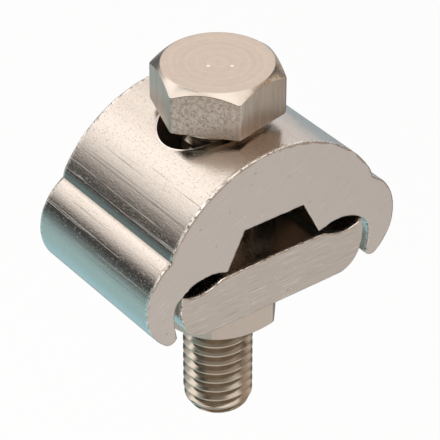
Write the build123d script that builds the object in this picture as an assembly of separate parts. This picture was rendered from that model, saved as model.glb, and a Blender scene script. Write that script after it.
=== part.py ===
from build123d import *
import os
from math import sqrt

# Parallel groove clamp for two bare conductors, closed by one M8 screw.
# X across the clamp, Y along the conductors, Z up the screw to its head.
# The origin is on the screw axis, level with the tips of the body's two ridges.

os.makedirs("parts", exist_ok=True)

# ---- body, an extruded section cut to length ----
clamp_length = 20.0             # along the conductors
dome_crest = 12.75              # top of the dome above the ridge tips
dome_radius = 15.0
notch_x = 13.1                  # the dome ends here, then a steep step runs down to the shoulder
shoulder_start = (13.33, 4.2)
shoulder_mid = (15.08, 2.75)
widest = (16.5, -1.1)           # the clamp is widest here
lip_mid = (15.75, -4.3)
foot_start = (14.35, -5.95)     # the lip ends in a rounded foot
foot_low = (13.45, -6.24)
lip_toe = (12.7, -5.6)
lip_low = (12.93, -4.6)
lip_waist = (13.07, -3.3)       # where the lip is cut back most
lip_high = (12.74, -1.6)
lip_root = (12.05, -0.72)       # groove and lip meet
groove_crown = (9.1, 0.48)      # top of the upper conductor groove
ridge_x = 6.4                   # outer edge of the ridge tip, at z = 0
ridge_flat = 0.35               # width of the ridge tip
recess_half = 3.87              # half width of the recess ceiling
recess_height = 4.3

# ---- slot that lets the screw lean when the two conductors differ ----
slot_width = 8.45
slot_length = 13.7
slot_round = 0.12               # worn edge where the slot opens on the dome

# ---- plate, an extruded section cut to the same length ----
jaw_gap = 0.62                  # ridge tips to plate, with no conductor in
plate_thick = 6.28
plate_flat = 6.6                # half width of the flat top
plate_rim = (12.0, -0.75)       # top of the outer rim of the groove
plate_groove = (9.6, -1.45)     # bottom of the lower conductor groove
plate_belly = (12.25, -2.4)     # the plate is widest here
plate_flank = (11.9, -4.5)
plate_corner = (11.05, -5.95)
plate_heel = 9.25               # half width of the flat bottom
plate_hole = 8.6

# ---- M8 screw, threaded to the head ----
thread_crest = 7.85
thread_pitch = 1.25
thread_depth = 0.72
groove_root = 0.12              # width of the thread groove at its bottom
groove_mouth = 1.09             # and at the crests
thread_run_out = 1.2            # plain length under the head
screw_length = 39.0             # from the dome to the end, a 40 mm screw within its tolerance
washer_face = 0.4
washer_face_d = 11.9
hex_flats = 12.8                # a 13 mm head or nut, at the small end of its tolerance
corner_round = 0.5
head_height = 5.4               # above the washer face
head_turn = 11.2                # degrees from +X to a corner
head_face_r = 6.05              # flat top, inside the cone that cuts the corners
head_cone = 0.8                 # how far the cone falls for each mm outwards
end_cone = 1.9                  # length of the rounded end
end_flat = 2.45                 # radius of the flat at the very end

# ---- M8 nut ----
nut_height = 6.25
nut_turn = 49.3                 # degrees from +X to a corner
nut_face_r = 6.15
nut_cone = 0.72
thread_clear = 0.05             # running fit between thread and nut
seat_gap = 0.05                 # the nut just clears the plate

plate_top = -jaw_gap
plate_bottom = plate_top - plate_thick
nut_top = plate_bottom - seat_gap
nut_bottom = nut_top - nut_height
screw_end = dome_crest - screw_length
bore_radius = thread_crest / 2 + thread_clear
on_base = (Align.CENTER, Align.CENTER, Align.MIN)


def dome_point(x):
    """Point of the dome's arc at a given distance from the middle."""
    return (x, dome_crest - dome_radius + sqrt(dome_radius**2 - x**2))


def clamp_body():
    with BuildSketch(Plane.XZ) as outline:
        with BuildLine():
            Line((0, recess_height), (recess_half, recess_height))
            Line((recess_half, recess_height), (ridge_x - ridge_flat, 0))
            Line((ridge_x - ridge_flat, 0), (ridge_x, 0))
            ThreePointArc((ridge_x, 0), groove_crown, lip_root)
            Spline(lip_root, lip_high, lip_waist, lip_low, lip_toe)
            ThreePointArc(lip_toe, foot_low, foot_start)
            ThreePointArc(foot_start, lip_mid, widest)
            ThreePointArc(widest, shoulder_mid, shoulder_start)
            Line(shoulder_start, dome_point(notch_x))
            ThreePointArc(dome_point(notch_x), dome_point(notch_x / 2), (0, dome_crest))
            Line((0, dome_crest), (0, recess_height))
        make_face()
        mirror(about=Plane.YZ)
    body = extrude(outline.sketch, clamp_length / 2, both=True)
    slot = extrude(SlotOverall(slot_length, slot_width), dome_crest + 4)
    body -= Pos(0, 0, -1) * slot
    mouth = body.edges().filter_by(
        lambda e: abs(e.center().Y) <= slot_width / 2 and e.center().Z > recess_height + 1)
    return fillet(mouth, slot_round)


def clamp_plate():
    with BuildSketch(Plane.XZ) as outline:
        with BuildLine():
            Line((0, plate_top), (plate_flat, plate_top))
            Spline((plate_flat, plate_top), (7.9, -1.07), plate_groove, (11.1, -1.24), plate_rim)
            ThreePointArc(plate_rim, plate_belly, plate_flank)
            ThreePointArc(plate_flank, plate_corner, (plate_heel, plate_bottom))
            Line((plate_heel, plate_bottom), (0, plate_bottom))
            Line((0, plate_bottom), (0, plate_top))
        make_face()
        mirror(about=Plane.YZ)
    plate = extrude(outline.sketch, clamp_length / 2, both=True)
    hole = Cylinder(plate_hole / 2, plate_thick + 2, align=on_base)
    return plate - Pos(0, 0, plate_bottom - 1) * hole


def hexagon(height, turn, face_r, cone, both_ends):
    """Hexagon prism, its corners turned down to a cone at the top or at both ends."""
    corner = hex_flats / sqrt(3)
    prism = extrude(RegularPolygon(corner, 6), height)
    prism = Rot(0, 0, turn) * fillet(prism.edges().filter_by(Axis.Z), corner_round)
    out_r = corner + 0.3
    rise = (out_r - face_r) * cone
    top = [(out_r, height - rise), (face_r, height)]
    bottom = [(face_r, 0), (out_r, rise)] if both_ends else [(out_r, 0)]
    turned = Polyline(*[(0, 0), *bottom, *top, (0, height), (0, 0)])
    return prism & revolve(make_face(Plane.XZ * turned), Axis.Z)


def thread_groove(radius):
    """V groove wound to the right, from below the screw's end to the run-out."""
    low = screw_end - thread_pitch
    path = Helix(thread_pitch, dome_crest - thread_run_out - low, radius, center=(0, 0, low))
    past = 0.05
    wide = groove_mouth + (groove_mouth - groove_root) * past / thread_depth
    shape = Plane(path @ 0, x_dir=(1, 0, 0), z_dir=path % 0) * Polyline(
        (-thread_depth, -groove_root / 2), (past, -wide / 2), (past, wide / 2),
        (-thread_depth, groove_root / 2), (-thread_depth, -groove_root / 2))
    return sweep(make_face(shape), path=path, is_frenet=True)


def hex_screw():
    head = Pos(0, 0, dome_crest + washer_face) * hexagon(head_height, head_turn, head_face_r, head_cone, False)
    collar = Pos(0, 0, dome_crest) * Cylinder(washer_face_d / 2, washer_face, align=on_base)
    radius = thread_crest / 2
    shank = Pos(0, 0, screw_end) * Cylinder(radius, dome_crest - screw_end, align=on_base)
    shank -= thread_groove(radius)
    with BuildSketch(Plane.XZ) as outline:
        with BuildLine():
            Line((0, screw_end), (end_flat, screw_end))
            ThreePointArc((end_flat, screw_end), (end_flat + 0.75, screw_end + 0.4), (radius, screw_end + end_cone))
            Line((radius, screw_end + end_cone), (radius + 1, screw_end + end_cone))
            Line((radius + 1, screw_end + end_cone), (radius + 1, dome_crest))
            Line((radius + 1, dome_crest), (0, dome_crest))
            Line((0, dome_crest), (0, screw_end))
        make_face()
    shank &= revolve(outline.sketch, Axis.Z)
    return head + collar + shank


def hex_nut():
    nut = hexagon(nut_height, nut_turn, nut_face_r, nut_cone, True)
    nut -= Pos(0, 0, -1) * Cylinder(bore_radius, nut_height + 2, align=on_base)
    mouth = Cone(bore_radius + 0.45, bore_radius, 0.45, align=on_base)
    nut -= mouth
    nut -= Pos(0, 0, nut_height) * Rot(180, 0, 0) * mouth
    return Pos(0, 0, nut_bottom) * nut


export_step(clamp_body(), "parts/clamp_body.step")
export_step(clamp_plate(), "parts/clamp_plate.step")
export_step(hex_screw(), "parts/hex_screw.step")
export_step(hex_nut(), "parts/hex_nut.step")
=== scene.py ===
import math
import bpy
import bmesh
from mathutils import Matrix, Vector, geometry, noise


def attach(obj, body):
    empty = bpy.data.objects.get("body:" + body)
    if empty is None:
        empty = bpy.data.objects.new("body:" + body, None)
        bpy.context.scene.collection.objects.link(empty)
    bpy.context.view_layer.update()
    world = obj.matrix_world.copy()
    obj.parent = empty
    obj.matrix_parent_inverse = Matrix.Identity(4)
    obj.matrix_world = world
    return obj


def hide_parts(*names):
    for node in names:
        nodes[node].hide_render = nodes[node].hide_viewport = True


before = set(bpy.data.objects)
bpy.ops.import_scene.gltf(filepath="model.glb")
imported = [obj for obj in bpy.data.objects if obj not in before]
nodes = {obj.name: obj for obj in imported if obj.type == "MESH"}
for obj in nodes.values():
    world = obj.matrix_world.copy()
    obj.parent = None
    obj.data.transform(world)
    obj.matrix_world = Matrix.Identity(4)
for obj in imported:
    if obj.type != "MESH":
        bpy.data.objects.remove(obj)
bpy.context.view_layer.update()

mm = 0.001
# points closer than these, in mm, count as one or as level
closeBy = dict(weld=0.0005, level=0.001, thread=0.002)


# one socket of a node tree; arithmetic on it adds Math nodes
class Sig:
    def __init__(self, tree, socket):
        self.tree, self.socket = tree, socket

    def math(self, op, *others):
        node = self.tree.nodes.new("ShaderNodeMath")
        node.operation = op
        for slot, value in zip(node.inputs, (self,) + others):
            feed(self.tree, slot, value)
        return Sig(self.tree, node.outputs[0])

    def __add__(self, o): return self.math("ADD", o)
    def __sub__(self, o): return self.math("SUBTRACT", o)
    def __rsub__(self, o): return self * -1.0 + o
    def __mul__(self, o): return self.math("MULTIPLY", o)
    def __truediv__(self, o): return self.math("DIVIDE", o)
    def __pow__(self, o): return self.math("POWER", o)
    def least(self, o): return self.math("MINIMUM", o)
    def most(self, o): return self.math("MAXIMUM", o)
    def size(self): return self.math("ABSOLUTE")

    def ramp(self, low, high):  # 0 at low, 1 at high, smooth between
        node = self.tree.nodes.new("ShaderNodeMapRange")
        node.interpolation_type = "SMOOTHSTEP"
        for slot, value in zip(node.inputs[:3], (self, low, high)):
            feed(self.tree, slot, value)
        return Sig(self.tree, node.outputs[0])


def feed(tree, slot, value):
    if isinstance(value, Sig):
        tree.links.new(value.socket, slot)
    else:
        slot.default_value = value


# node tree with short ways to add nodes
class Tree:
    def __init__(self, tree):
        self.tree = tree

    def add(self, kind, settings=None, inputs=None, out=0):
        node = self.tree.nodes.new(kind)
        for name, value in (settings or {}).items():
            setattr(node, name, value)
        for name, value in (inputs or {}).items():
            feed(self.tree, node.inputs[name], value)
        return Sig(self.tree, node.outputs[out])

    def split(self, vector):
        node = self.tree.nodes.new("ShaderNodeSeparateXYZ")
        feed(self.tree, node.inputs[0], vector)
        return [Sig(self.tree, node.outputs[i]) for i in range(3)]

    def join(self, x, y, z):
        return self.add("ShaderNodeCombineXYZ", inputs={0: x, 1: y, 2: z})

    def noise(self, vector, scale, detail, rough):
        return self.add("ShaderNodeTexNoise", inputs={
            "Vector": vector, "Scale": scale, "Detail": detail, "Roughness": rough})

    def stretch(self, vector, x, y, z):
        return self.add("ShaderNodeVectorMath", {"operation": "MULTIPLY"}, {0: vector, 1: (x, y, z)})

    def mix(self, amount, a, b):
        node = self.tree.nodes.new("ShaderNodeMix")
        node.data_type = "RGBA"
        feed(self.tree, node.inputs["Factor"], amount)
        for slot, value in ((node.inputs[6], a), (node.inputs[7], b)):
            feed(self.tree, slot, value)
        return Sig(self.tree, node.outputs[2])


def placed(name, data):
    piece = bpy.data.objects.new(name, data)
    bpy.context.scene.collection.objects.link(piece)
    return piece


def newMaterial(name):
    material = bpy.data.materials.new(name)
    material.use_nodes = True
    tree = Tree(material.node_tree)
    shader = material.node_tree.nodes["Principled BSDF"]
    return material, tree, shader


def metalFinish(name, look, build):
    # build gives colour, roughness and height in mm, all from Object coordinates
    material, tree, shader = newMaterial(name)
    coord = tree.add("ShaderNodeTexCoord", out=3)
    where = tree.stretch(coord, 1 / mm, 1 / mm, 1 / mm)
    normal = tree.add("ShaderNodeNewGeometry", out=1)
    colour, rough, height = build(tree, where, normal, look)
    feed(tree.tree, shader.inputs["Base Color"], colour)
    feed(tree.tree, shader.inputs["Roughness"], rough)
    shader.inputs["Metallic"].default_value = 1.0
    bump = tree.add("ShaderNodeBump", inputs={"Height": height, "Strength": look["relief"], "Distance": mm})
    feed(tree.tree, shader.inputs["Normal"], bump)
    return material


# lengths and depths in mm; cut is the sawn end, skin is all the rest
clampLook = dict(
    tint=(0.64, 0.575, 0.52, 1), dull=(0.565, 0.51, 0.462, 1),
    cut=(0.655, 0.60, 0.56, 1), cutDull=(0.60, 0.545, 0.50, 1),
    nick=(0.95, 0.9, 0.84, 1), shade=(0.16, 0.13, 0.11, 1),
    skinRough=0.115, lineRough=0.08, speckleRough=0.12, cloudRough=0.06, skinNoise=0.12,
    cutRough=0.42, grainRough=0.2, cutNoise=0.1,
    lineDepth=0.0008, speckleDepth=0.019, dentDepth=0.010, scoreDepth=0.014, scoreFrom=8.4, scoreDark=0.3,
    notchX=13.25, notchZ=4.55, notchWide=0.7, notchDirt=0.6,
    sawAngle=0.5, sawLines=0.1, cutDepth=0.004, grainDepth=0.004, scratchDepth=0.002, pitDepth=0.004,
    scratchShow=0.36, chipShow=0.65, pitShow=0.42,
    halfLength=10.0, rim=0.28, wornHeight=0.03, darkDepth=0.02,
    slotRim=1.0, slotHalf=4.225, slotReach=2.625, slotFloor=8.0, lipWide=0.3, lipShow=0.8, lipHeight=0.07,
    relief=1.0)

plateLook = dict(
    clampLook, tint=(0.60, 0.52, 0.46, 1), cut=(0.61, 0.55, 0.50, 1), cutDull=(0.56, 0.50, 0.445, 1),
    sawAngle=0.0, sawLines=0.42, slotRim=0.0, notchDirt=0.0)

# marks in a mm over x, y and z
skinMarks = dict(
    lines=(5.5, 0.05, 5.5), scores=(3.4, 0.03, 3.4), broad=(1.1, 0.03, 1.1), speckle=(5.2, 3.6, 5.2),
    dents=4.6, cloud=0.35)

# marks in a mm, pairs are along and across the saw's stroke
cutMarks = dict(
    saw=(0.15, 4.5), scratch=(0.35, 7.0), groove=(0.25, 8.0), patch=0.45, chip=1.9, grain=5.0, pit=1.4,
    worn=2.0, dark=2.6)


def extrudedSkin(tree, where, normal, look):
    x, y, z = tree.split(where)
    _, ny, nz = tree.split(normal)
    isCut = ny.size().ramp(0.75, 0.92)
    # fine die lines run along the extrusion, with a few long crisp scores on the flanks
    lines = tree.noise(tree.stretch(where, *skinMarks["lines"]), 1.0, 4.0, 0.7)
    scores = tree.noise(tree.stretch(where, *skinMarks["scores"]), 1.0, 2.0, 0.6).ramp(0.61, 0.65)
    scores = scores * x.size().ramp(look["scoreFrom"], look["scoreFrom"] + 1.5) * nz.ramp(0.1, 0.3)
    broad = tree.noise(tree.stretch(where, *skinMarks["broad"]), 1.0, 2.0, 0.5)
    speckle = tree.noise(tree.stretch(where, *skinMarks["speckle"]), 1.0, 4.0, 0.7)
    dents = tree.noise(where, skinMarks["dents"], 2.0, 0.6).ramp(0.63, 0.70)
    cloud = tree.noise(where, skinMarks["cloud"], 3.0, 0.6)
    # saw marks lie across the ends at a slant
    c, n = math.cos(look["sawAngle"]), math.sin(look["sawAngle"])
    along, across = x * c + z * n, z * c - x * n

    def sawn(kind, y):
        perAlong, perAcross = cutMarks[kind]
        return tree.join(along * perAlong, y, across * perAcross)
    saw = tree.noise(sawn("saw", y), 1.0, 3.0, 0.7)
    scratch = tree.noise(sawn("scratch", y + 4.0), 1.0, 2.0, 0.6).ramp(0.60, 0.70)
    scratch = scratch * tree.noise(where, cutMarks["patch"], 2.0, 0.6).ramp(0.45, 0.6)
    groove = tree.noise(sawn("groove", y), 1.0, 2.0, 0.7)
    chip = tree.noise(where, cutMarks["chip"], 3.0, 0.7).ramp(0.66, 0.70)
    grain = tree.noise(where, cutMarks["grain"], 4.0, 0.7)
    pit = tree.noise(where, cutMarks["pit"], 3.0, 0.65).ramp(0.34, 0.30)
    # the skin next to the cut is knocked bright in places and dark in others
    rimFrom, rimTo = look["halfLength"] - look["rim"] * 2.2, look["halfLength"] - look["rim"] * 0.4
    rim = y.size().ramp(rimFrom, rimTo) * (1.0 - isCut)
    worn = rim * tree.noise(where, cutMarks["worn"], 4.0, 0.75).ramp(0.38, 0.5)
    dark = rim * tree.noise(where, cutMarks["dark"], 3.0, 0.7).ramp(0.56, 0.64)
    skinMix = (lines * 0.3 + broad * 0.2 + speckle * 0.8).ramp(0.4, 0.8)
    skin = tree.mix(skinMix, look["dull"], look["tint"])
    skin = tree.mix(scores * look["scoreDark"], skin, look["shade"])
    # painted shade darkens the notch between dome and shoulder
    aside, above = x.size() - look["notchX"], z - look["notchZ"]
    notch = ((aside * aside + above * above) ** 0.5).ramp(look["notchWide"], 0.25)
    skin = tree.mix(notch * look["notchDirt"], skin, look["shade"])
    cutMix = (saw * 0.6 + grain * 0.6).ramp(0.3, 0.8)
    ends = tree.mix(cutMix, tree.mix(cloud, look["cutDull"], look["cut"]), look["cut"])
    ends = tree.mix(groove.ramp(0.56, 0.66) * look["sawLines"], ends, look["nick"])
    ends = tree.mix(groove.ramp(0.44, 0.34) * (look["sawLines"] * 0.5), ends, look["shade"])
    bright = (scratch * look["scratchShow"] + chip * look["chipShow"]).least(1.0)
    ends = tree.mix(bright, ends, look["nick"])
    ends = tree.mix(pit * look["pitShow"], ends, look["shade"])
    colour = tree.mix(isCut, skin, ends)
    colour = tree.mix(worn.least(1.0), colour, look["nick"])
    colour = tree.mix(dark, colour, look["shade"])
    # a small burr stands round the slot's mouth as a bump, with a painted highlight along it
    beyond = (x.size() - look["slotReach"]).most(0.0)
    fromSlot = (beyond * beyond + y * y) ** 0.5 - look["slotHalf"]
    onDome = z.ramp(look["slotFloor"], look["slotFloor"] + 0.5)
    lip = fromSlot.ramp(look["lipWide"], 0.04) * onDome * (nz.ramp(0.1, 0.3) * look["slotRim"])
    colour = tree.mix(lip * look["lipShow"], colour, look["nick"])
    # what the noise adds on average comes off again
    unevenRough = lines * look["lineRough"] + speckle * look["speckleRough"] + cloud * look["cloudRough"]
    skinRough = unevenRough + (look["skinRough"] - look["skinNoise"])
    cutRough = grain * look["grainRough"] + (look["cutRough"] - look["cutNoise"])
    rough = skinRough * (1.0 - isCut) + cutRough * isCut
    skinHeight = lines * look["lineDepth"] + broad * look["lineDepth"] - scores * look["scoreDepth"] \
        + speckle * look["speckleDepth"] - dents * look["dentDepth"]
    cutHeight = saw * look["cutDepth"] + grain * look["grainDepth"] + scratch * look["scratchDepth"] \
        - pit * look["pitDepth"]
    height = skinHeight * (1.0 - isCut) + cutHeight * isCut + worn * look["wornHeight"] \
        - dark * look["darkDepth"] + lip * look["lipHeight"]
    return colour, rough, height


# forgedWay points out of the flat that is rough from the forging, nickWay out of the nicked part of the cone
screwLook = dict(
    tint=(0.63, 0.56, 0.50, 1), dull=(0.36, 0.325, 0.29, 1),
    face=(0.67, 0.565, 0.485, 1), faceDull=(0.60, 0.50, 0.425, 1), thread=(0.50, 0.445, 0.375, 1),
    rough=0.2, sideRough=0.06, forgedRough=0.2, drawnRough=0.15, ringRough=0.1, dentRough=0.04,
    threadShine=0.05,
    ringDepth=0.004, drawnDepth=0.0015, forgedDepth=0.006, dentDepth=0.0006, relief=1.0,
    forged=1.0, forgedStain=0.8, forgedWay=(-0.752, -0.659), drawn=0.35, nick=(0.5, 0.40, 0.27, 1),
    nickWay=(0.62, -0.78, -0.4),
    glint=(0.98, 0.93, 0.86, 1), glints=((-1.21, 0.01), (0.78, -1.48)), glintHeight=0.01,
    headLow=13.0, coneTop=18.55, coneStart=6.05, coneFall=0.8)

nutLook = dict(
    screwLook, face=(0.63, 0.56, 0.50, 1), faceDull=(0.57, 0.5, 0.44, 1), rough=0.26,
    forged=0.0, drawn=0.1, glints=(), headLow=-40.0, coneTop=40.0)

steelMarks = dict(rings=1.7, dents=1.2, mottle=3.0, drawn=(3.0, 3.0, 0.2), nicks=2.6)


def steelSkin(tree, where, normal, look):
    x, y, z = tree.split(where)
    nx, ny, nz = tree.split(normal)
    radius = (x * x + y * y) ** 0.5
    onFace = nz.ramp(0.93, 0.99)
    isHead = z.ramp(look["headLow"], look["headLow"] + 0.1)
    side = (1.0 - nz.size().ramp(0.2, 0.5)) * isHead
    rings = tree.noise(tree.join(radius * steelMarks["rings"], 0.0, 0.0), 1.0, 1.5, 0.6)  # turning marks
    dents = tree.noise(where, steelMarks["dents"], 1.5, 0.5)
    mottle = tree.noise(where, steelMarks["mottle"], 6.0, 0.8)
    drawn = tree.noise(tree.stretch(where, *steelMarks["drawn"]), 1.0, 4.0, 0.7)  # streaks up the flats
    fx, fy = look["forgedWay"]
    forged = (nx * fx + ny * fy).ramp(0.6, 0.9) * look["forged"]
    blotch = mottle.ramp(0.36, 0.58)
    streaks = (1.0 - forged) * drawn.ramp(0.55, 0.4) * look["drawn"]
    stain = side * (forged * (1.0 - blotch) * look["forgedStain"] + streaks)
    # a thin dark burr where the rough flat meets the cone
    cone = (radius - look["coneStart"]) * look["coneFall"]
    burr = 1.0 - (z - (look["coneTop"] - cone)).size().ramp(0.05, 0.13)
    stain = (stain + burr * side * forged * look["forgedStain"]).least(1.0)
    # the thread gets a darker colour, partly its own tone and partly painted shade between its turns
    colour = tree.mix(stain, tree.mix(isHead, look["thread"], look["tint"]), look["dull"])
    # yellowish nicks where the cone meets the smoother flats
    wx, wy, wz = look["nickWay"]
    onCone = nz.ramp(0.6, 0.7) * (1.0 - onFace) * (nx * wx + ny * wy + nz * wz).ramp(0.08, 0.16)
    nicks = onCone * tree.noise(where, steelMarks["nicks"], 3.0, 0.7).ramp(0.5, 0.58)
    colour = tree.mix(nicks * isHead, colour, look["nick"])
    turned = tree.mix((rings * 0.7 + dents * 0.3).ramp(0.35, 0.7), look["faceDull"], look["face"])
    colour = tree.mix(onFace, colour, turned)
    sideRough = forged * (1.0 - blotch) * look["forgedRough"] + drawn * look["drawnRough"] + look["sideRough"]
    rough = side * sideRough + rings * onFace * look["ringRough"] + dents * look["dentRough"] \
        + look["rough"] - (1.0 - isHead) * look["threadShine"]
    sideHeight = (drawn * look["drawnDepth"] + forged * mottle * look["forgedDepth"]) * side
    height = rings * onFace * look["ringDepth"] + sideHeight + dents * look["dentDepth"]
    # glints on the head's top: small bumps with a painted highlight in the colour
    for gx, gy in look["glints"]:
        away = ((x - gx) * (x - gx) + (y - gy) * (y - gy)) ** 0.5
        height = height + away.ramp(0.3, 0.0) * onFace * look["glintHeight"]
        colour = tree.mix(away.ramp(0.26, 0.1) * onFace, colour, look["glint"])
    return colour, rough, height


clampMetal = metalFinish("clamp_metal_look", clampLook, extrudedSkin)
plateMetal = metalFinish("plate_metal_look", plateLook, extrudedSkin)
screwSteel = metalFinish("screw_steel_look", screwLook, steelSkin)
nutSteel = metalFinish("nut_steel_look", nutLook, steelSkin)
print("finishes made")


def meshFrom(name, points, faces, material):
    mesh = bpy.data.meshes.new(name)
    mesh.from_pydata([Vector(p) * mm for p in points], [], faces)
    mesh.materials.append(material)
    piece = placed(name, mesh)
    work = bmesh.new()
    work.from_mesh(mesh)
    bmesh.ops.remove_doubles(work, verts=work.verts, dist=closeBy["weld"] * mm)
    bmesh.ops.recalc_face_normals(work, faces=work.faces)
    work.to_mesh(mesh)
    work.free()
    return piece


def smoothEdges(piece, degrees, flatEnds=False):
    piece.data.set_sharp_from_angle(angle=math.radians(degrees))
    for face in piece.data.polygons:
        face.use_smooth = not (flatEnds and abs(face.normal.y) > 0.999)


def ringSkin(rings, closeFirst=True, closeLast=True):
    # skin of point rings, all with the same number of points
    points = [p for ring in rings for p in ring]
    n = len(rings[0])
    faces = [(k * n + i, k * n + (i + 1) % n, (k + 1) * n + (i + 1) % n, (k + 1) * n + i)
             for k in range(len(rings) - 1) for i in range(n)]
    if closeFirst:
        faces.append(tuple(range(n))[::-1])
    if closeLast:
        faces.append(tuple((len(rings) - 1) * n + i for i in range(n)))
    return points, faces


def endOutline(node):
    # ordered outline of a CAD extrusion's end face at the low-Y side, in mm
    mesh = nodes[node].data
    low = min(v.co.y for v in mesh.vertices)
    onEnd = {v.index for v in mesh.vertices if v.co.y < low + closeBy["level"] * mm}
    spot = {i: (round(mesh.vertices[i].co.x / mm, 4), round(mesh.vertices[i].co.z / mm, 4)) for i in onEnd}
    count = {}
    for face in mesh.polygons:
        if all(i in onEnd for i in face.vertices):
            around = [spot[i] for i in face.vertices]
            for a, b in zip(around, around[1:] + around[:1]):
                key = (min(a, b), max(a, b))
                count[key] = count.get(key, 0) + 1
    links = {}
    for (a, b), times in count.items():
        if times == 1:
            links.setdefault(a, []).append(b)
            links.setdefault(b, []).append(a)
    start = min(links)
    loop, last = [start], None
    while True:
        here = loop[-1]
        ahead = [p for p in links[here] if p != last][0]
        if ahead == start:
            return loop, low / mm
        loop.append(ahead)
        last = here


def resampled(loop, step, cornerTurn):
    # adds points on a smooth curve through the outline, keeps every corner
    n = len(loop)
    spots = [Vector(p) for p in loop]
    dense = []
    for i in range(n):
        before, here, ahead, after = spots[i - 1], spots[i], spots[(i + 1) % n], spots[(i + 2) % n]
        run = ahead - here
        leave = arrive = run
        if run.angle(here - before) < math.radians(cornerTurn):
            leave = (ahead - before).normalized() * run.length
        if run.angle(after - ahead) < math.radians(cornerTurn):
            arrive = (after - here).normalized() * run.length
        parts = max(1, round(run.length / step))
        for k in range(parts):
            t = k / parts
            p = here * (2 * t**3 - 3 * t**2 + 1) + leave * (t**3 - 2 * t**2 + t) \
                + ahead * (3 * t**2 - 2 * t**3) + arrive * (t**3 - t**2)
            dense.append((p.x, p.y))
    return dense


def inward(loop):
    # unit direction into the section at each point
    area = sum(a[0] * b[1] - b[0] * a[1] for a, b in zip(loop, loop[1:] + loop[:1]))
    sign = 1 if area > 0 else -1
    result = []
    for i in range(len(loop)):
        ax, az = loop[i - 1]
        bx, bz = loop[(i + 1) % len(loop)]
        tx, tz = bx - ax, bz - az
        length = math.hypot(tx, tz) or 1
        result.append((-tz / length * sign, tx / length * sign))
    return result


def heldApart(loop, into, reach, within=5, ease=0.8):
    # takes less off the edge where its new outline would cross itself, near a sharp corner
    n = len(loop)
    while True:
        moved = [Vector((x + nx * r, z + nz * r)) for (x, z), (nx, nz), r in zip(loop, into, reach)]
        crowded = set()
        for i in range(n):
            for gap in range(2, within + 1):
                near, far = (moved[i], moved[(i + 1) % n]), (moved[(i + gap) % n], moved[(i + gap + 1) % n])
                if geometry.intersect_line_line_2d(*near, *far):
                    crowded.update((i + k) % n for k in range(gap + 2))
        if not crowded:
            return reach
        for i in crowded:
            reach[i] *= ease


# the edge at the cut: how far it is rounded, how unevenly, the least of it, and its curve as pairs of
# distance from the cut and share of the rounding; waves are pairs of waves in a mm and their share
barSize = dict(
    step=0.22, cornerTurn=20.0, smoothTo=24, edgeRound=0.22, edgeUneven=0.19, edgeLeast=0.03,
    edgeCurve=((0.0, 1.0), (0.03, 0.55), (0.08, 0.2)), behind=0.15, quietFrom=4.0,
    waves=((0.9, 1.0), (2.7, 0.6)), endShift=7.0, barShift=0.0)


def extrudedBar(name, node, size, material):
    loop, low = endOutline(node)
    loop = resampled(loop, size["step"], size["cornerTurn"])
    into = inward(loop)
    half = -low

    def edgeReach(side):
        reach = []
        shift = side * size["endShift"] + size["barShift"]
        for x, z in loop:
            uneven = 0.0
            for often, share in size["waves"]:
                uneven += share * noise.noise(Vector((x * often, shift, z * often)))
            reach.append(max(size["edgeLeast"], size["edgeRound"] + size["edgeUneven"] * uneven))
        return heldApart(loop, into, reach)
    reaches = {side: edgeReach(side) for side in (-1, 1)}

    def station(y, inset, side):
        return [(x + nx * reach * inset, y * side, z + nz * reach * inset)
                for (x, z), (nx, nz), reach in zip(loop, into, reaches[side])]
    edge = size["edgeRound"]
    ends = [(half - back, inset) for back, inset in size["edgeCurve"]]
    ends += [(half - edge, 0.0), (half - edge - size["behind"], 0.0), (half - size["quietFrom"], 0.0)]
    rings = [station(y, inset, -1) for y, inset in ends]
    rings += [station(y, inset, 1) for y, inset in reversed(ends)]
    points, faces = ringSkin(rings)
    return meshFrom(name, points, faces, material)


def cutAway(piece, cutter):
    modifier = piece.modifiers.new("cut", "BOOLEAN")
    modifier.operation, modifier.solver, modifier.object = "DIFFERENCE", "EXACT", cutter
    depsgraph = bpy.context.evaluated_depsgraph_get()
    mesh = bpy.data.meshes.new_from_object(piece.evaluated_get(depsgraph))
    piece.modifiers.clear()
    piece.data = mesh
    bpy.data.objects.remove(cutter)


# body
slotSize = dict(
    width=8.45, length=13.7, domeRadius=15.0, domeCrest=12.75, floor=-3.0, above=4.0, points=160,
    edge=0.22, edgeCurve=((0.0, 1.0), (0.12, 0.5), (0.4, 0.15)))


def slotCutter(size):
    half, reach = size["width"] / 2, size["length"] / 2 - size["width"] / 2
    centre = size["domeCrest"] - size["domeRadius"]

    def rim(out, lift, flat=None):
        # ring that follows the dome, or lies flat at one height
        ring = []
        for i in range(size["points"]):
            a = 2 * math.pi * (i + 0.5) / size["points"]
            x = math.cos(a) * (half + out) + math.copysign(reach, math.cos(a))
            y = math.sin(a) * (half + out)
            top = centre + math.sqrt(size["domeRadius"] ** 2 - x * x)
            ring.append((x, y, flat if flat is not None else top + lift))
        return ring
    e = size["edge"]
    rings = [rim(0, 0, size["floor"])] + [rim(e * out, -e * down) for out, down in size["edgeCurve"]]
    rings += [rim(e, 0.01), rim(e * 6, 1.2), rim(e * 6, size["above"])]
    points, faces = ringSkin(rings)
    return meshFrom("slot_cutter", points, faces, clampMetal)


body = extrudedBar("body_shell", "clamp_body", barSize, clampMetal)
cutAway(body, slotCutter(slotSize))
smoothEdges(body, barSize["smoothTo"], True)
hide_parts("clamp_body")
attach(body, "body")
print("body made:", len(body.data.polygons), "faces")

# rings all round, used by the hole, the head and the nut
ringPoints = 360


def roundRing(radius, z, around=ringPoints):
    turns = [2 * math.pi * i / around for i in range(around)]
    return [(radius * math.cos(a), radius * math.sin(a), z) for a in turns]


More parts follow.
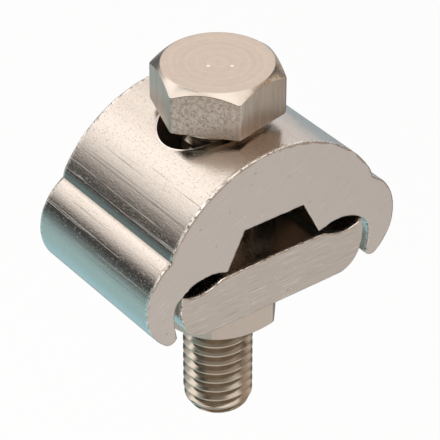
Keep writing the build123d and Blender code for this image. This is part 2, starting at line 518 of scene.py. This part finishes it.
# plate
plateSize = dict(
    barSize, edgeRound=0.15, edgeUneven=0.1, barShift=31.0,
    hole=4.3, holePoints=96, holeFrom=-9.0, holeTo=3.0)
plate = extrudedBar("grooved_plate", "clamp_plate", plateSize, plateMetal)
hole = [roundRing(plateSize["hole"], plateSize[z], plateSize["holePoints"]) for z in ("holeFrom", "holeTo")]
cutAway(plate, meshFrom("hole_cutter", *ringSkin(hole), plateMetal))
smoothEdges(plate, plateSize["smoothTo"], True)
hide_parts("clamp_plate")
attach(plate, "plate")
print("plate made:", len(plate.data.polygons), "faces")


def hexRadius(angle, size):
    apothem, c = size["flats"] / 2, size["cornerRound"]
    d = (apothem - c) / math.cos(math.radians(30))
    local = (math.degrees(angle) - size["turn"]) % 60
    off = math.radians(min(local, 60 - local))  # angle away from the nearest corner
    if off < math.atan2(0.5 * c, d + 0.866 * c):
        return d * math.cos(off) + math.sqrt(c * c - (d * math.sin(off)) ** 2)
    return apothem / math.cos(math.radians(30) - off)


def hexRing(size, gap, height):
    # gap measured inwards from the hexagon; height may depend on the radius
    ring = []
    for i in range(ringPoints):
        a = 2 * math.pi * i / ringPoints
        r = hexRadius(a, size) - gap
        ring.append((r * math.cos(a), r * math.sin(a), height(r)))
    return ring


# screw; the edges are pairs of distance from the hexagon and distance from the cone or the underside
headSize = dict(
    flats=12.8, cornerRound=0.5, turn=11.2, smoothTo=32, face=6.05, faceSoft=0.08, faceDrop=0.015,
    dish=0.03, dishRings=(1.2, 2.4, 3.6, 4.8, 5.6), dishCentre=0.02,
    cone=0.8, top=18.55, coneEdge=((0.1, 0.0), (0.02, 0.01), (0.0, 0.08)),
    under=13.15, underEdge=((0.0, 0.35), (0.05, 0.12), (0.2, 0.0)),
    collar=5.95, collarSoft=0.06, seat=12.75, neck=3.4)


def screwHead(size):
    top, under, face, dish = size["top"], size["under"], size["face"], size["dish"]
    collar, seat, soft = size["collar"], size["seat"], size["faceSoft"]

    def cone(r):
        return top - max(0.0, r - face) * size["cone"]
    rings = [roundRing(size["dishCentre"], top - dish)]
    rings += [roundRing(r, top - dish + dish * (r / face) ** 2) for r in size["dishRings"]]
    rings += [roundRing(face - soft, top), roundRing(face, top - size["faceDrop"])]
    rings += [roundRing(face + soft, cone(face + soft))]
    rings += [hexRing(size, gap, lambda r: cone(r) - drop) for gap, drop in size["coneEdge"]]
    rings += [hexRing(size, gap, lambda r: under + rise) for gap, rise in size["underEdge"]]
    rings += [roundRing(collar, under), roundRing(collar, seat + 0.05)]
    rings += [roundRing(collar - size["collarSoft"], seat), roundRing(size["neck"], seat)]
    return ringSkin(rings)


# cone is how far up the rounded end reaches; ridgeGain and ridgeDrop set the width of crest and root
threadSize = dict(
    pitch=1.25, crest=3.925, depth=0.72, ridgeGain=1.28, ridgeDrop=0.12, endZ=-26.25, topZ=12.8,
    cone=2.0, endFlat=2.45, around=72, profile=16)


def threadTree(size):
    tree = bpy.data.node_groups.new("helical_thread", "GeometryNodeTree")
    ids = {}
    lengths = ("Pitch", "Crest", "Depth", "End", "Top", "Cone", "End Flat", "Turns")
    sockets = {name: "NodeSocketFloat" for name in lengths}
    sockets.update({"Around": "NodeSocketInt", "Profile": "NodeSocketInt", "Finish": "NodeSocketMaterial"})
    for name, kind in sockets.items():
        ids[name] = tree.interface.new_socket(name, in_out="INPUT", socket_type=kind).identifier
    tree.interface.new_socket("Geometry", in_out="OUTPUT", socket_type="NodeSocketGeometry")
    start = tree.nodes.new("NodeGroupInput")
    given = {}
    for name, key in ids.items():
        given[name] = Sig(tree, next(s for s in start.outputs if s.identifier == key))
    t = Tree(tree)
    grid = tree.nodes.new("GeometryNodeMeshGrid")
    feed(tree, grid.inputs["Size X"], 1.0)
    feed(tree, grid.inputs["Size Y"], 1.0)
    feed(tree, grid.inputs["Vertices X"], given["Turns"] * given["Around"] + 1.0)
    feed(tree, grid.inputs["Vertices Y"], given["Profile"] + 1.0)
    x, y, _ = t.split(t.add("GeometryNodeInputPosition"))
    turn = (x + 0.5) * given["Turns"] - 1.0      # turns from the screw's end
    across = y + 0.5                             # 0 to 1 over one pitch
    height = (given["End"] + given["Pitch"] * (turn + across)).most(given["End"]).least(given["Top"])
    slope = (1.0 - (across * 2.0 - 1.0).size()) * size["ridgeGain"] - size["ridgeDrop"]
    ridge = slope.most(0.0).least(1.0)
    radius = given["Crest"] - given["Depth"] * (1.0 - ridge)
    rise = ((height - given["End"]) / given["Cone"]).least(1.0)
    ending = given["End Flat"] + (given["Crest"] - given["End Flat"]) * (1.0 - (1.0 - rise) ** 2.0) ** 0.5
    radius = radius.least(ending)
    angle = turn * (2 * math.pi)
    place = t.join(radius * angle.math("COSINE"), radius * angle.math("SINE"), height)
    place = t.add("ShaderNodeVectorMath", {"operation": "SCALE"}, {0: place, "Scale": mm})
    skin = Sig(tree, grid.outputs[0])
    moved = t.add("GeometryNodeSetPosition", inputs={"Geometry": skin, "Position": place})
    discInputs = {"Vertices": given["Around"], "Radius": given["End Flat"] * mm}
    disc = t.add("GeometryNodeMeshCircle", {"fill_type": "NGON"}, discInputs)
    down = t.join(0.0, 0.0, given["End"] * mm)
    disc = t.add("GeometryNodeSetPosition", inputs={"Geometry": disc, "Offset": down})
    joined = tree.nodes.new("GeometryNodeJoinGeometry")
    tree.links.new(moved.socket, joined.inputs[0])
    tree.links.new(disc.socket, joined.inputs[0])
    both = Sig(tree, joined.outputs[0])
    gap = closeBy["thread"] * mm
    welded = t.add("GeometryNodeMergeByDistance", inputs={"Geometry": both, "Distance": gap})
    real = t.add("GeometryNodeRealizeInstances", inputs={"Geometry": welded})
    done = t.add("GeometryNodeSetMaterial", inputs={"Geometry": real, "Material": given["Finish"]})
    end = tree.nodes.new("NodeGroupOutput")
    tree.links.new(done.socket, end.inputs[0])
    return tree, ids


def threadMesh(size, material):
    tree, ids = threadTree(size)
    carrier = placed("thread_carrier", bpy.data.meshes.new("thread_carrier"))
    modifier = carrier.modifiers.new("thread", "NODES")
    modifier.node_group = tree
    turns = math.ceil((size["topZ"] - size["endZ"]) / size["pitch"]) + 1
    for name, value in (("Pitch", size["pitch"]), ("Crest", size["crest"]), ("Depth", size["depth"]),
                        ("End", size["endZ"]), ("Top", size["topZ"]), ("Cone", size["cone"]),
                        ("End Flat", size["endFlat"]), ("Turns", float(turns)), ("Around", size["around"]),
                        ("Profile", size["profile"]), ("Finish", material)):
        modifier[ids[name]] = value
    bpy.context.view_layer.update()
    mesh = bpy.data.meshes.new_from_object(carrier.evaluated_get(bpy.context.evaluated_depsgraph_get()))
    bpy.data.objects.remove(carrier)
    return mesh


head = meshFrom("screw", *screwHead(headSize), screwSteel)
work = bmesh.new()
work.from_mesh(head.data)
work.from_mesh(threadMesh(threadSize, screwSteel))
work.to_mesh(head.data)
work.free()
smoothEdges(head, headSize["smoothTo"])
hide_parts("hex_screw")
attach(head, "screw")
print("screw made:", len(head.data.polygons), "faces")

# nut
nutSize = dict(
    flats=12.8, cornerRound=0.5, turn=49.3, smoothTo=32, face=6.15, soft=0.06, gap=0.08, cone=0.72,
    top=-6.95, height=6.25, bore=3.975, mouth=0.45)


def nutRings(size):
    top, low, face = size["top"], size["top"] - size["height"], size["face"]
    bore, mouth, soft, gap = size["bore"], size["mouth"], size["soft"], size["gap"]

    def upper(r):
        return top - max(0.0, r - face) * size["cone"]

    def lower(r):
        return low + max(0.0, r - face) * size["cone"]
    middle = roundRing(bore, (top + low) / 2)
    rings = [middle, roundRing(bore, top - mouth), roundRing(bore + mouth, top)]
    rings += [roundRing(face - soft, top), roundRing(face + soft, upper(face + soft))]
    rings += [hexRing(size, gap, upper), hexRing(size, 0.0, lambda r: upper(r) - soft)]
    rings += [hexRing(size, 0.0, lambda r: lower(r) + soft), hexRing(size, gap, lower)]
    rings += [roundRing(face + soft, lower(face + soft)), roundRing(face - soft, low)]
    rings += [roundRing(bore + mouth, low), roundRing(bore, low + mouth), middle]
    return ringSkin(rings, False, False)


nut = meshFrom("nut", *nutRings(nutSize), nutSteel)
smoothEdges(nut, nutSize["smoothTo"])
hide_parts("hex_nut")
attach(nut, "nut")
print("nut made:", len(nut.data.polygons), "faces")

# what the metal mirrors, as spots of light around it: azimuth from +X, height, colour, brightness
surroundLook = dict(radius=0.7, segments=120, rings=60, sharpness=6.0, nearest=0.02, spots=[
    (139, 5, (1.0, 1.03, 1.05), 0.05), (138, 11, (1.0, 0.97, 0.95), 0.06),
    (137, 17, (1.0, 0.95, 0.92), 0.19), (135, 23, (1.0, 0.96, 0.93), 0.72),
    (132, 28, (1.0, 0.97, 0.94), 1.12), (128, 33, (1.0, 0.97, 0.94), 1.44),
    (118, 42, (1.0, 0.97, 0.94), 1.8), (94, 49, (1.0, 0.96, 0.92), 1.5), (99, 30, (1.0, 0.96, 0.92), 0.75),
    (53, 35, (1.0, 0.96, 0.92), 1.08), (42, 13, (1.0, 0.97, 0.96), 0.88),
    (43, -15, (0.85, 0.98, 1.05), 0.52), (20, 5, (1.0, 0.93, 0.88), 0.55),
    (-3, 26, (1.0, 0.90, 0.80), 0.85), (-3, 0, (1.0, 0.86, 0.74), 0.30), (165, 5, (1.0, 0.97, 0.95), 0.25),
    (165, 30, (1.0, 0.95, 0.90), 0.95), (0, 90, (1.0, 0.97, 0.94), 1.5), (153, 53, (1.0, 0.97, 0.93), 1.6),
    (254, 66, (1.0, 0.97, 0.92), 1.62), (303, 57, (1.0, 0.95, 0.90), 1.4), (0, 60, (1.0, 0.95, 0.9), 1.1),
    (324, 40, (1.0, 0.76, 0.6), 0.46), (344, 42, (1.0, 0.78, 0.63), 0.6),
    (300, 42, (1.0, 0.77, 0.62), 0.52), (182, 48, (1.0, 0.93, 0.86), 1.3),
    (204, 38, (1.0, 0.76, 0.58), 0.45), (264, 35, (1.0, 0.8, 0.65), 0.64),
    (264, 5, (1.0, 0.82, 0.68), 0.45), (324, 5, (1.0, 0.8, 0.65), 0.35), (204, 5, (1.0, 0.84, 0.70), 0.45),
    (138, -9, (0.75, 0.95, 1.0), 0.27), (135, -20, (0.62, 0.95, 1.0), 0.68),
    (127, -35, (0.60, 0.95, 1.02), 0.76), (100, -49, (0.58, 0.97, 1.1), 0.78),
    (90, -33, (0.85, 0.95, 0.92), 0.58), (165, -35, (0.92, 1.0, 0.95), 0.64),
    (45, -35, (0.95, 1.0, 1.0), 0.34), (0, -90, (0.9, 0.98, 1.0), 0.55),
    (209, -35, (1.0, 0.96, 0.92), 0.86), (307, -35, (1.0, 1.01, 1.02), 0.95),
    (285, -38, (1.0, 0.95, 0.89), 0.82), (329, -35, (1.0, 0.9, 0.77), 0.47),
    (17, -35, (1.0, 0.97, 0.92), 0.14), (-3, -35, (1.0, 0.95, 0.9), 0.28), (0, -30, (1.0, 0.9, 0.8), 0.35),
    (14, 26, (1.0, 0.95, 0.9), 0.12), (128, 63, (0.9, 1.0, 0.95), 0.4), (7, 32, (1.0, 0.92, 0.85), 0.1),
    (82, 13, (0.95, 1.0, 1.05), 0.15)])


def surroundings(look):
    spots = []
    for azimuth, height, colour, light in look["spots"]:
        a, h = math.radians(azimuth), math.radians(height)
        way = Vector((math.cos(h) * math.cos(a), math.cos(h) * math.sin(a), math.sin(h)))
        spots.append((way, [c * light for c in colour]))
    mesh = bpy.data.meshes.new("surroundings")
    work = bmesh.new()
    around, up = look["segments"], look["rings"]
    bmesh.ops.create_uvsphere(work, u_segments=around, v_segments=up, radius=look["radius"])
    work.to_mesh(mesh)
    work.free()
    glow = mesh.color_attributes.new("glow", "FLOAT_COLOR", "POINT")
    for i, vertex in enumerate(mesh.vertices):
        way = vertex.co.normalized()
        weights = [1.0 / (way.angle(at, 0.0) + look["nearest"]) ** look["sharpness"] for at, _ in spots]
        total = sum(weights)
        mean = [sum(w * c[k] for w, (_, c) in zip(weights, spots)) / total for k in range(3)]
        glow.data[i].color = (*mean, 1.0)
    for face in mesh.polygons:
        face.use_smooth = True
    material = bpy.data.materials.new("surroundings_glow")
    material.use_nodes = True
    tree = Tree(material.node_tree)
    colour = tree.add("ShaderNodeAttribute", {"attribute_name": "glow"})
    light = tree.add("ShaderNodeEmission", inputs={"Color": colour, "Strength": 1.0})
    material.node_tree.links.new(light.socket, material.node_tree.nodes["Material Output"].inputs[0])
    mesh.materials.append(material)
    piece = placed("surroundings", mesh)
    piece.visible_camera = piece.visible_diffuse = piece.visible_shadow = False


surroundings(surroundLook)

# floor, lit a little by itself where the camera sees it
floorLook = dict(half=3.0, z=-0.16, grey=0.86, rough=0.9, glow=0.85)
floorMesh = bpy.data.meshes.new("floor")
corners = [(-1, -1), (1, -1), (1, 1), (-1, 1)]
floorPoints = [(x * floorLook["half"], y * floorLook["half"], floorLook["z"]) for x, y in corners]
floorMesh.from_pydata(floorPoints, [], [(0, 1, 2, 3)])
floor = placed("floor", floorMesh)
floorMaterial, floorTree, floorShader = newMaterial("floor_look")
floorShader.inputs["Base Color"].default_value = (*[floorLook["grey"]] * 3, 1)
floorShader.inputs["Roughness"].default_value = floorLook["rough"]
floorNodes = floorMaterial.node_tree
seen = Sig(floorNodes, floorNodes.nodes.new("ShaderNodeLightPath").outputs["Is Camera Ray"])
floorWhite = floorTree.add("ShaderNodeEmission", inputs={"Color": (1, 1, 1, 1), "Strength": 1.0})
floorPlain = Sig(floorNodes, floorShader.outputs[0])
floorShare = seen * floorLook["glow"]
floorMix = floorTree.add("ShaderNodeMixShader", inputs={0: floorShare, 1: floorPlain, 2: floorWhite})
floorNodes.links.new(floorMix.socket, floorNodes.nodes["Material Output"].inputs[0])
floorMesh.materials.append(floorMaterial)
floor.visible_glossy = False

# white all round, dimmer as a light than as the camera and the mirrors see it
worldLook = dict(light=0.65, seen=0.35)
world = bpy.data.worlds.new("studio")
bpy.context.scene.world = world
world.use_nodes = True
background = world.node_tree.nodes["Background"]
pathNode = world.node_tree.nodes.new("ShaderNodeLightPath")
kinds = [Sig(world.node_tree, pathNode.outputs[ray]) for ray in
         ("Is Camera Ray", "Is Glossy Ray", "Is Transmission Ray")]
rays = kinds[0].most(kinds[1]).most(kinds[2])
background.inputs["Color"].default_value = (1, 1, 1, 1)
feed(world.node_tree, background.inputs["Strength"], rays * worldLook["seen"] + worldLook["light"])

lampLook = dict(
    light_top=dict(place=(-0.25, 0.35, 0.6), size=0.35, power=3.0, colour=(1.0, 0.97, 0.93)),
    light_side=dict(place=(-0.5, -0.4, 0.35), size=0.25, power=1.2, colour=(1.0, 0.98, 0.96)))

for name, look in lampLook.items():
    lamp = bpy.data.lights.new(name, "AREA")
    lamp.shape, lamp.size, lamp.energy, lamp.color = "SQUARE", look["size"], look["power"], look["colour"]
    holder = placed(name, lamp)
    holder.location = look["place"]
    holder.rotation_euler = (-Vector(look["place"])).to_track_quat("-Z", "Y").to_euler()
    holder.visible_camera = holder.visible_glossy = False

cameraLook = dict(
    place=(-0.13433, -0.17895, 0.15590), back=(-0.49170, -0.65351, 0.57546), lens=206.24, sensor=36.0,
    clipStart=0.01, clipEnd=20.0)
cameraData = bpy.data.cameras.new("camera")
cameraData.lens, cameraData.sensor_width = cameraLook["lens"], cameraLook["sensor"]
cameraData.clip_start, cameraData.clip_end = cameraLook["clipStart"], cameraLook["clipEnd"]
camera = placed("camera", cameraData)
camera.location = cameraLook["place"]
camera.rotation_euler = (-Vector(cameraLook["back"])).to_track_quat("-Z", "Y").to_matrix().to_euler()
bpy.context.scene.camera = camera
bpy.context.scene.view_settings.view_transform = "Standard"
print("stage made")

bpy.context.view_layer.update()
